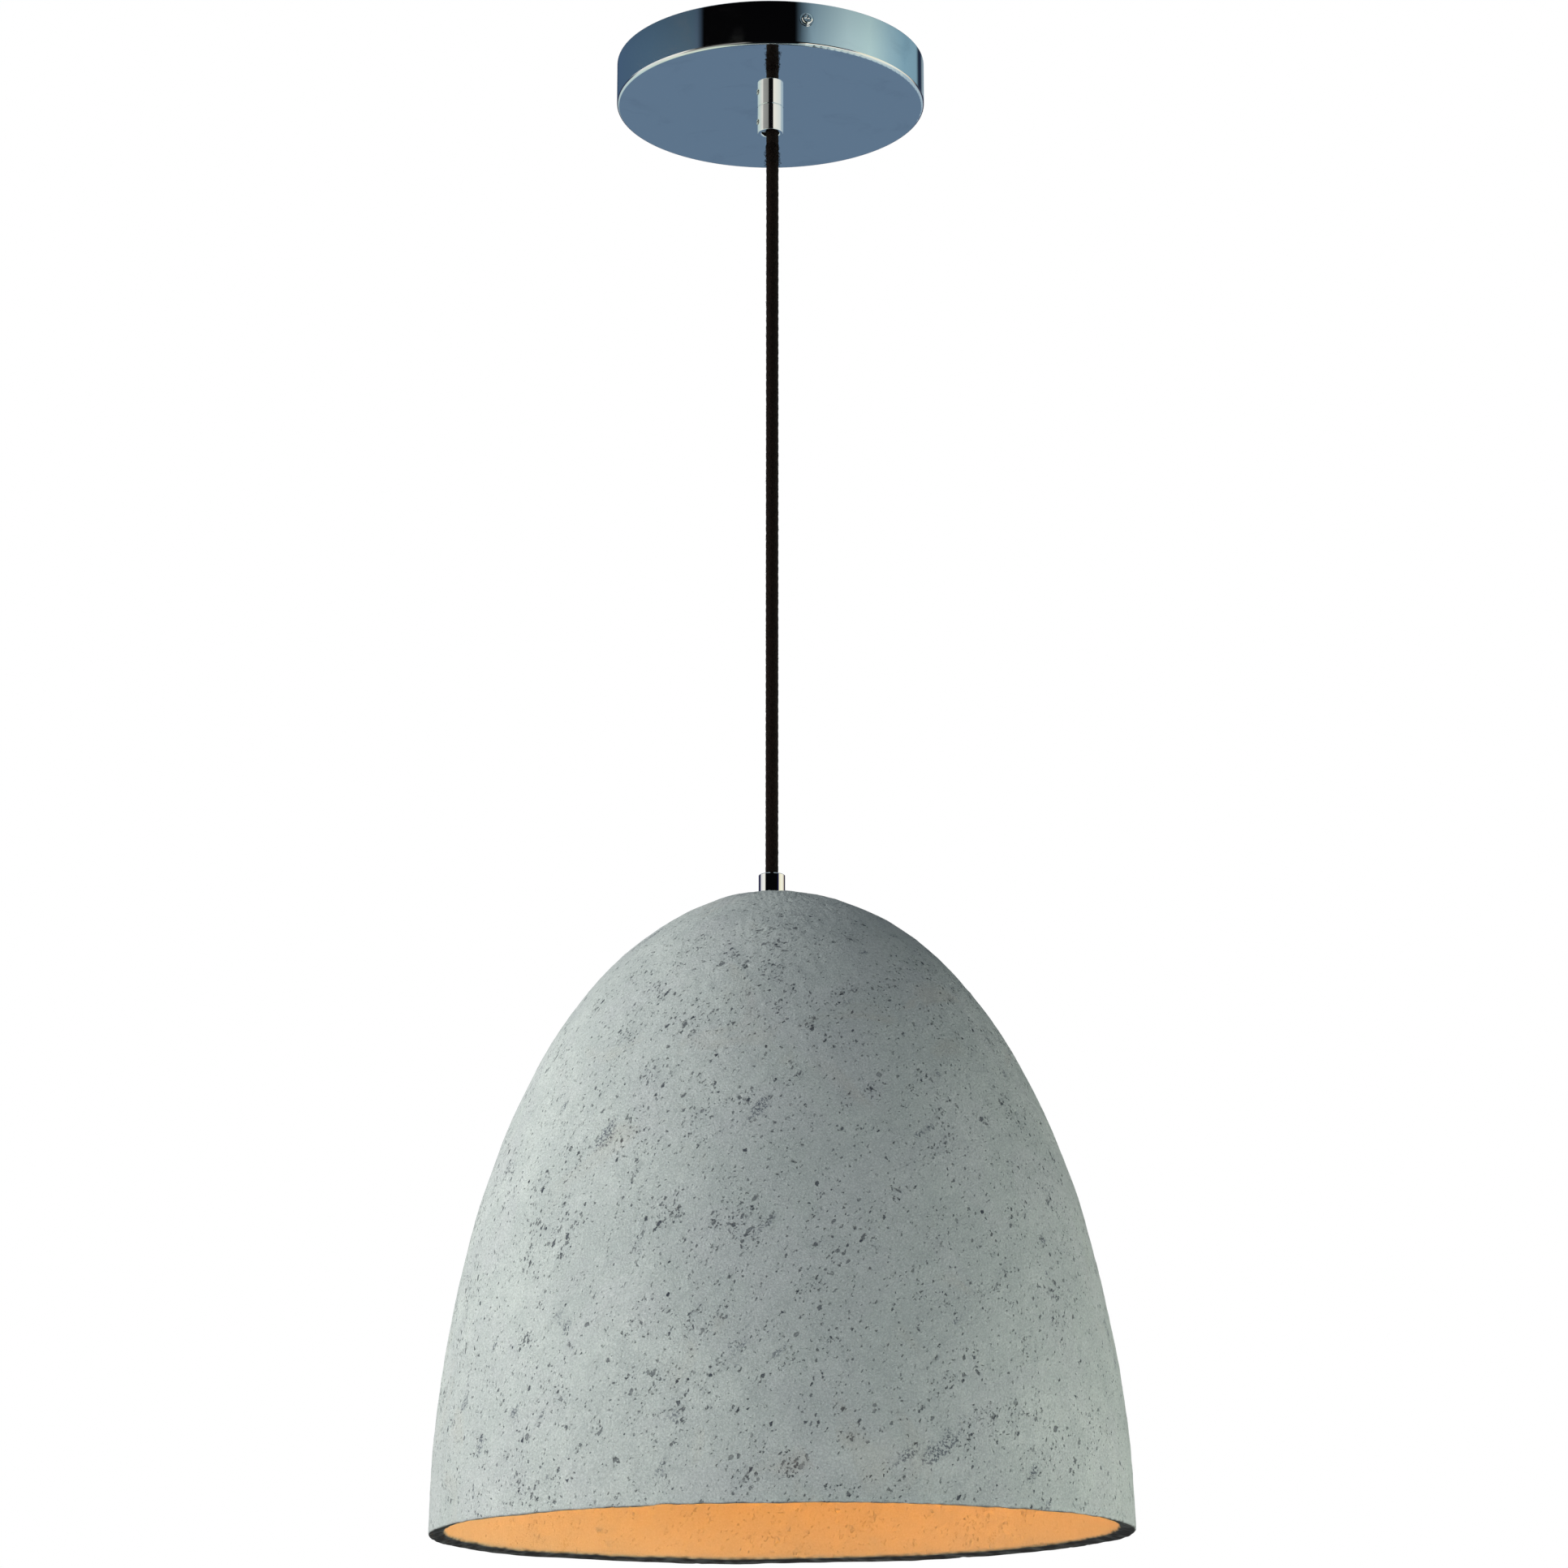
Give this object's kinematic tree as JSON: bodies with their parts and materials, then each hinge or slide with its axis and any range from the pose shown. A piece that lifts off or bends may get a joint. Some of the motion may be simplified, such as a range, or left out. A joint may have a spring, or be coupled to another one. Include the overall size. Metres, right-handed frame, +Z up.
{
  "type": "pendant ceiling light",
  "caption": "Pendant ceiling light: a pitted grey concrete dome hangs on a straight black textile cord from a shallow round chrome canopy, with a warm bulb inside.",
  "frame": {"origin": "in the ceiling plane, at the middle of the canopy and of the two outlet box screws", "axes": "+Z up, out of the canopy into the ceiling; the mounting bracket and its screws lie along Y; the cord grip's set screw points along -X"},
  "size_m": [0.3208, 0.3208, 0.7353],
  "materials": {
    "chrome_plate": "polished chrome plating",
    "zinc_steel": "zinc plated, satin",
    "green_steel": "green passivated",
    "copper_brass": "turned brass",
    "nickel_shell": "rolled shell, bright",
    "textile_braid": "black-brown textile braid",
    "black_insulation": "black core insulation",
    "white_insulation": "white core insulation",
    "green_insulation": "green core insulation",
    "connector_plastic": "moulded, ribbed",
    "gasket_rubber": "soft black rubber",
    "concrete": "cast grey concrete with small pits",
    "holder_black": "black moulded thermoset",
    "porcelain": "white glazed",
    "black_glass": "black vitreous insulator",
    "bulb_envelope": "frosted warm glass",
    "stem_glass": "clear glass",
    "tungsten": "tungsten and nickel wire"
  },
  "bodies": {
    "root": {"mounting_bracket": "zinc_steel", "outlet_box_screws": "zinc_steel", "earth_ring": "nickel_shell", "earth_screw": "green_steel", "canopy": "chrome_plate", "canopy_side_screws": "chrome_plate", "canopy_tube": "zinc_steel", "toothed_washer": "zinc_steel", "canopy_nut": "zinc_steel", "cord_grip": "chrome_plate", "clamp_pad": "zinc_steel", "cord_in_canopy": "textile_braid", "live_core": "black_insulation", "neutral_core": "white_insulation", "earth_lead": "green_insulation", "wire_connectors": "connector_plastic"},
    "set_screw": {"grip_set_screw": "zinc_steel"},
    "cord_hinge": {"cord_bend": "textile_braid"},
    "cord": {"hanging_cord": "textile_braid"},
    "cord_end": {"cord_lower_end": "textile_braid"},
    "shade": {"cord_in_ferrule": "textile_braid", "shade_ferrule": "chrome_plate", "shade_tube": "zinc_steel", "concrete_shade": "concrete", "shade_gasket": "gasket_rubber", "shade_washer": "zinc_steel", "shade_nut": "zinc_steel", "holder_cap": "holder_black", "holder_insulator": "porcelain", "terminal_blocks": "copper_brass", "terminal_screws": "copper_brass", "holder_live_core": "black_insulation", "holder_neutral_core": "white_insulation", "holder_skirt": "holder_black", "screw_shell": "copper_brass", "centre_contact": "copper_brass"},
    "bulb": {"bulb_tip": "nickel_shell", "bulb_insulator": "black_glass", "bulb_base": "nickel_shell", "bulb_glass": "bulb_envelope", "bulb_stem": "stem_glass", "filament_supports": "tungsten", "bulb_filament": "tungsten"}
  },
  "joints": [
    {"name": "set_screw_release", "type": "slide", "parent": "root", "child": "set_screw", "axis": [-1, 0, 0], "range_m": [0, 0.0015]},
    {"name": "swing_sideways", "type": "hinge", "parent": "root", "child": "cord_hinge", "pos_m": [0.001, 0, -0.036], "axis": [0, 1, 0], "range_deg": [-25, 25]},
    {"name": "swing_fore_aft", "type": "hinge", "parent": "cord_hinge", "child": "cord", "pos_m": [0.001, 0, -0.036], "axis": [1, 0, 0], "range_deg": [-25, 25]},
    {"name": "height_adjust", "type": "slide", "parent": "cord", "child": "cord_end", "axis": [0, 0, 1], "range_m": [0, 0.2], "deforming": ["hanging_cord"]},
    {"name": "shade_turn", "type": "hinge", "parent": "cord_end", "child": "shade", "pos_m": [0.001, 0, -0.413], "axis": [0, 0, 1], "range_deg": [-90, 90], "stiffness_Nm_per_rad": 0.02},
    {"name": "bulb_removal", "type": "slide", "parent": "shade", "child": "bulb", "axis": [0, 0, -1], "range_m": [0, 0.26]}
  ]
}
